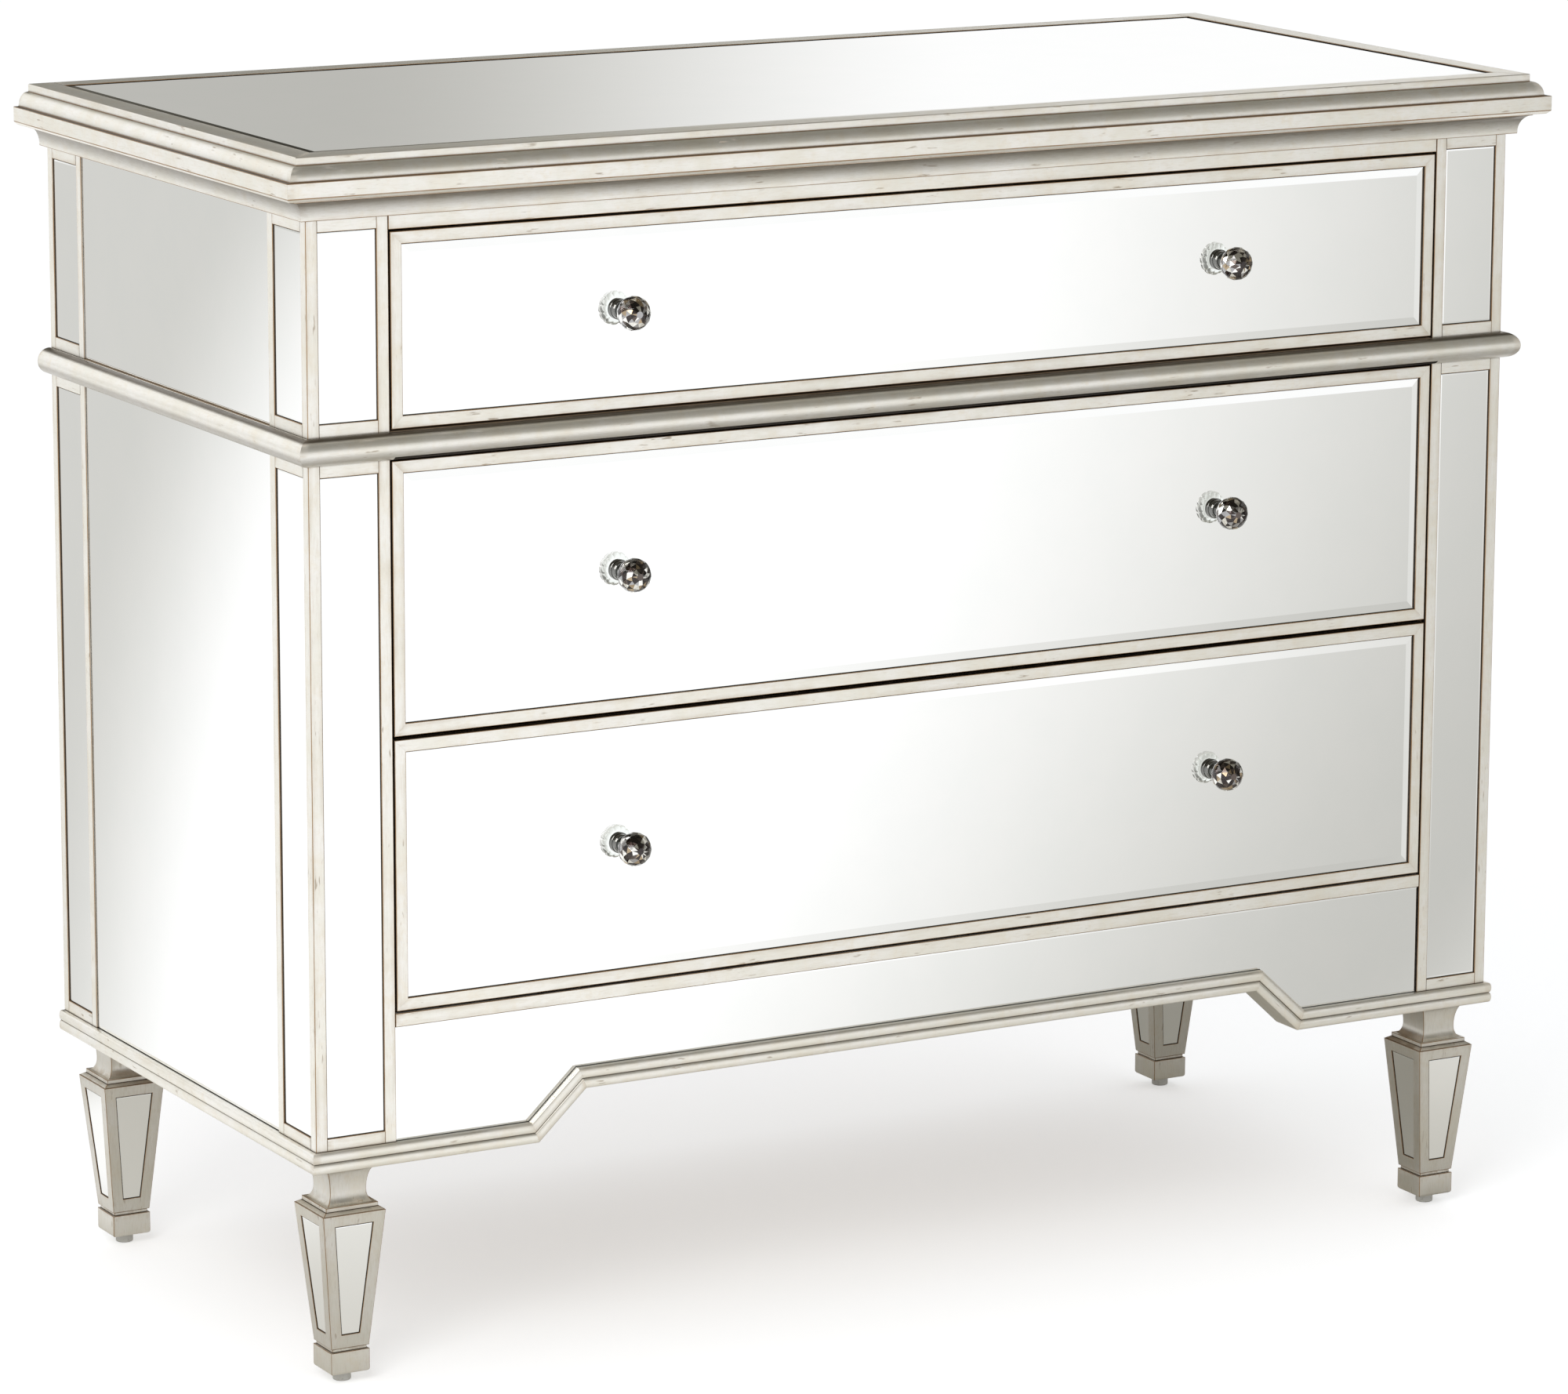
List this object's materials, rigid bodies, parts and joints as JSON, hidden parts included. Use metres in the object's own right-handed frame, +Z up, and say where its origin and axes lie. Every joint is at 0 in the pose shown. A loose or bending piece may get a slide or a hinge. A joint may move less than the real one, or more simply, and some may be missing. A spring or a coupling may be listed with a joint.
{
  "type": "mirrored chest of drawers",
  "caption": "Mirror-clad chest of drawers on tapered square legs, with silver-leafed mouldings, a shallow top drawer above deeper ones, and crystal knobs.",
  "frame": {"origin": "centre of the whole piece's footprint, knobs and overhanging top included, at floor level", "axes": "+Z up, the drawers face -Y, +X is to the right of someone facing the front"},
  "size_m": [1.1218, 0.53, 0.9496],
  "materials": {
    "silver_leaf": "champagne silver leaf, satin, antiqued in the coves and rubbed on the edges",
    "mirror_glass": "clear mirror with ground bevel",
    "crystal_knob": "clear faceted glass",
    "knob_chrome": "polished",
    "drawer_wood": "plain lacquered wood",
    "frame_wood": "raw wood",
    "back_board": "stained fibre board",
    "glide_plastic": "matte"
  },
  "bodies": {
    "case": {"apron_mirror": "mirror_glass", "apron_panel": "silver_leaf", "back_panel": "back_board", "base_moulding": "silver_leaf", "bottom_frame": "silver_leaf", "cornice_moulding": "silver_leaf", "front_left_glide": "glide_plastic", "front_left_leg": "silver_leaf", "front_left_lower_front_mirror": "mirror_glass", "front_left_lower_side_mirror": "mirror_glass", "front_left_post": "silver_leaf", "front_left_upper_front_mirror": "mirror_glass", "front_left_upper_side_mirror": "mirror_glass", "front_right_glide": "glide_plastic", "front_right_leg": "silver_leaf", "front_right_lower_front_mirror": "mirror_glass", "front_right_lower_side_mirror": "mirror_glass", "front_right_post": "silver_leaf", "front_right_upper_front_mirror": "mirror_glass", "front_right_upper_side_mirror": "mirror_glass", "left_side_lower_mirror": "mirror_glass", "left_side_panel": "silver_leaf", "left_side_upper_mirror": "mirror_glass", "middle_frame": "frame_wood", "rear_left_glide": "glide_plastic", "rear_left_leg": "silver_leaf", "rear_left_lower_side_mirror": "mirror_glass", "rear_left_post": "silver_leaf", "rear_left_upper_side_mirror": "mirror_glass", "rear_right_glide": "glide_plastic", "rear_right_leg": "silver_leaf", "rear_right_lower_side_mirror": "mirror_glass", "rear_right_post": "silver_leaf", "rear_right_upper_side_mirror": "mirror_glass", "right_side_lower_mirror": "mirror_glass", "right_side_panel": "silver_leaf", "right_side_upper_mirror": "mirror_glass", "top_frame": "silver_leaf", "top_mirror": "mirror_glass", "top_slab": "silver_leaf", "waist_frame": "frame_wood", "waist_moulding": "silver_leaf"},
    "drawer_1": {"drawer_1_front": "silver_leaf", "drawer_1_mirror": "mirror_glass", "drawer_1_box": "drawer_wood", "drawer_1_bottom": "drawer_wood", "drawer_1_left_knob": "crystal_knob", "drawer_1_right_knob": "crystal_knob"},
    "drawer_2": {"drawer_2_front": "silver_leaf", "drawer_2_mirror": "mirror_glass", "drawer_2_box": "drawer_wood", "drawer_2_bottom": "drawer_wood", "drawer_2_left_knob": "crystal_knob", "drawer_2_right_knob": "crystal_knob"},
    "drawer_3": {"drawer_3_front": "silver_leaf", "drawer_3_mirror": "mirror_glass", "drawer_3_box": "drawer_wood", "drawer_3_bottom": "drawer_wood", "drawer_3_left_knob": "crystal_knob", "drawer_3_right_knob": "crystal_knob"}
  },
  "joints": [
    {"name": "drawer_1_slide", "type": "slide", "parent": "case", "child": "drawer_1", "axis": [0, -1, 0], "range_m": [0, 0.3]},
    {"name": "drawer_2_slide", "type": "slide", "parent": "case", "child": "drawer_2", "axis": [0, -1, 0], "range_m": [0, 0.3]},
    {"name": "drawer_3_slide", "type": "slide", "parent": "case", "child": "drawer_3", "axis": [0, -1, 0], "range_m": [0, 0.3]}
  ]
}
